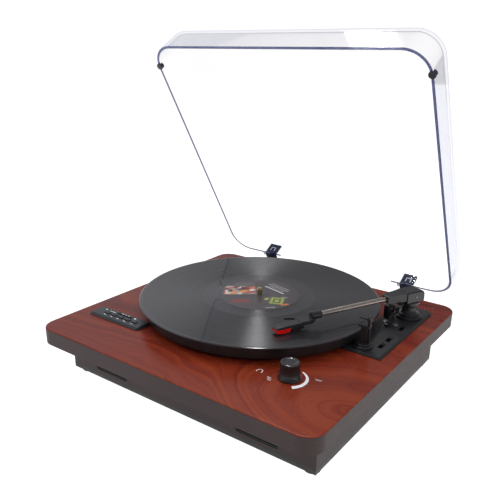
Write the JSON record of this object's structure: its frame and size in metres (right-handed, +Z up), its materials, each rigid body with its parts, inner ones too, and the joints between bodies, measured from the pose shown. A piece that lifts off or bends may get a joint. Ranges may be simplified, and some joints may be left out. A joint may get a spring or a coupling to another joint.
{
  "type": "turntable record player",
  "caption": "Belt-drive record player: veneered board on a lower box, platter with a record, straight tonearm with rest and lift, small control panel, volume knob and a hinged clear dust cover.",
  "frame": {"origin": "on the table plane, under the middle of the whole player with its cover open", "axes": "+X to the player's right (tonearm side), +Y to its back (hinge side), +Z up along the platter's axis"},
  "size_m": [0.38, 0.4108, 0.4009],
  "materials": {
    "wood_top": "glossy red-brown stained veneer with fine dark figure",
    "wood_box": "dark brown stained veneer, semi-gloss",
    "black_panel": "black moulded plastic",
    "rubber": "black rubber",
    "steel": "zinc-plated steel",
    "speaker_metal": "black painted steel",
    "speaker_paper": "dark paper pulp",
    "circuit": "green solder mask",
    "component_black": "black moulded plastic",
    "brass": "turned brass",
    "platter_black": "black moulded plastic, satin",
    "vinyl": "glossy black pressed vinyl with fine grooves",
    "label_paper": "printed paper",
    "arm_black": "black moulded plastic, fine satin grain",
    "champagne": "champagne anodised tube, satin",
    "red_plastic": "bright red moulded plastic",
    "deck_black": "dark grey-black satin plastic",
    "button_black": "black moulded plastic",
    "knob_black": "black plastic, glossy skirt and satin ribbed grip",
    "lamp": "milky indicator lamp",
    "clear_plastic": "clear polished plastic with a bluish edge",
    "hinge_black": "black moulded plastic"
  },
  "bodies": {
    "plinth": {"top_board": "wood_top", "box_walls": "wood_box", "bottom_panel": "black_panel", "standoffs": "component_black", "rubber_feet": "rubber", "screws": "steel", "speaker_grilles": "black_panel", "speaker_frames": "speaker_metal", "speaker_cones": "speaker_paper", "circuit_board": "circuit", "circuit_components": "component_black", "rear_jack_plate": "black_panel", "rear_jacks": "component_black", "headphone_jack": "component_black", "motor_body": "steel", "drive_belt": "rubber", "bearing_housing": "brass", "thrust_ball": "steel", "arm_base_plate": "arm_black", "arm_pillar": "arm_black", "lift_cylinder": "arm_black", "arm_rest": "arm_black", "switch_bodies": "component_black", "control_panel": "deck_black", "button_switches": "component_black", "usb_socket": "steel", "card_socket": "steel", "status_led": "lamp", "volume_control": "component_black", "hinge_bases": "hinge_black", "hinge_pins": "steel"},
    "platter": {"platter": "platter_black", "spindle": "brass", "slip_mat": "rubber", "vinyl_record": "vinyl", "record_label": "label_paper"},
    "motor": {"motor_pulley": "brass"},
    "arm_swing": {"pivot_head": "arm_black"},
    "tonearm": {"arm_housing": "arm_black", "arm_tube": "champagne", "counterweight": "steel", "headshell": "arm_black", "cartridge": "arm_black", "stylus": "red_plastic", "tilt_axle": "steel"},
    "lift": {"lift_platform": "arm_black"},
    "lever": {"cue_lever": "arm_black"},
    "clip": {"arm_clip": "arm_black"},
    "knob": {"volume_knob": "knob_black"},
    "mode_slider": {"mode_switch": "button_black"},
    "auto_stop_slider": {"auto_stop_switch": "button_black"},
    "speed_slider": {"speed_switch": "button_black"},
    "cover": {"dust_cover": "clear_plastic", "cover_bumpers": "rubber", "hinge_leaves": "hinge_black"},
    "button_1": {"panel_button_1": "button_black"},
    "button_2": {"panel_button_2": "button_black"},
    "button_3": {"panel_button_3": "button_black"},
    "button_4": {"panel_button_4": "button_black"},
    "button_5": {"panel_button_5": "button_black"}
  },
  "joints": [
    {"name": "platter_spin", "type": "hinge", "parent": "plinth", "child": "platter", "pos_m": [-0.011, -0.0019, 0.08], "axis": [0, 0, -1], "continuous": true},
    {"name": "motor_spin", "type": "hinge", "parent": "plinth", "child": "motor", "pos_m": [-0.09067, 0.06495, 0.079], "axis": [0, 0, -1], "continuous": true},
    {"name": "arm_swing", "type": "hinge", "parent": "plinth", "child": "arm_swing", "pos_m": [0.152, 0.0891, 0.08], "axis": [0, 0, -1], "range_deg": [-20.6, 20]},
    {"name": "arm_lift", "type": "hinge", "parent": "arm_swing", "child": "tonearm", "pos_m": [0.152, 0.0891, 0.102], "axis": [-0.9063, 0.4226, 0], "range_deg": [0, 3.44]},
    {"name": "cue_lever", "type": "hinge", "parent": "plinth", "child": "lever", "pos_m": [0.14185, 0.07303, 0.084], "axis": [-1, 0, 0], "range_deg": [0, 40]},
    {"name": "lift_platform", "type": "slide", "parent": "plinth", "child": "lift", "axis": [0, 0, 1], "range_m": [0, 0.0015]},
    {"name": "arm_clip", "type": "hinge", "parent": "plinth", "child": "clip", "pos_m": [0.1492, -0.0204, 0.108], "axis": [0, 1, 0], "range_deg": [0, 190]},
    {"name": "volume_turn", "type": "hinge", "parent": "plinth", "child": "knob", "pos_m": [0.1146, -0.1267, 0.08], "axis": [0, 0, -1], "range_deg": [-140, 140]},
    {"name": "mode_slide", "type": "slide", "parent": "plinth", "child": "mode_slider", "axis": [0, -1, 0], "range_m": [0, 0.0068]},
    {"name": "auto_stop_slide", "type": "slide", "parent": "plinth", "child": "auto_stop_slider", "axis": [0, -1, 0], "range_m": [0, 0.0068]},
    {"name": "speed_slide", "type": "slide", "parent": "plinth", "child": "speed_slider", "axis": [0, -1, 0], "range_m": [0, 0.0068]},
    {"name": "button_1_press", "type": "slide", "parent": "plinth", "child": "button_1", "axis": [0, 0, -1], "range_m": [0, 0.0008], "stiffness_N_per_m": 400},
    {"name": "button_2_press", "type": "slide", "parent": "plinth", "child": "button_2", "axis": [0, 0, -1], "range_m": [0, 0.0008], "stiffness_N_per_m": 400},
    {"name": "button_3_press", "type": "slide", "parent": "plinth", "child": "button_3", "axis": [0, 0, -1], "range_m": [0, 0.0008], "stiffness_N_per_m": 400},
    {"name": "button_4_press", "type": "slide", "parent": "plinth", "child": "button_4", "axis": [0, 0, -1], "range_m": [0, 0.0008], "stiffness_N_per_m": 400},
    {"name": "button_5_press", "type": "slide", "parent": "plinth", "child": "button_5", "axis": [0, 0, -1], "range_m": [0, 0.0008], "stiffness_N_per_m": 400},
    {"name": "cover_hinge", "type": "hinge", "parent": "plinth", "child": "cover", "pos_m": [0, 0.1701, 0.0592], "axis": [-1, 0, 0], "range_deg": [-59, 0]}
  ],
  "couplings": [
    {"joint": "motor_spin", "follows": "platter_spin", "ratio": 15},
    {"joint": "lift_platform", "follows": "arm_lift", "m_per_rad": 0.02496},
    {"joint": "cue_lever", "follows": "arm_lift", "ratio": 11.62}
  ]
}
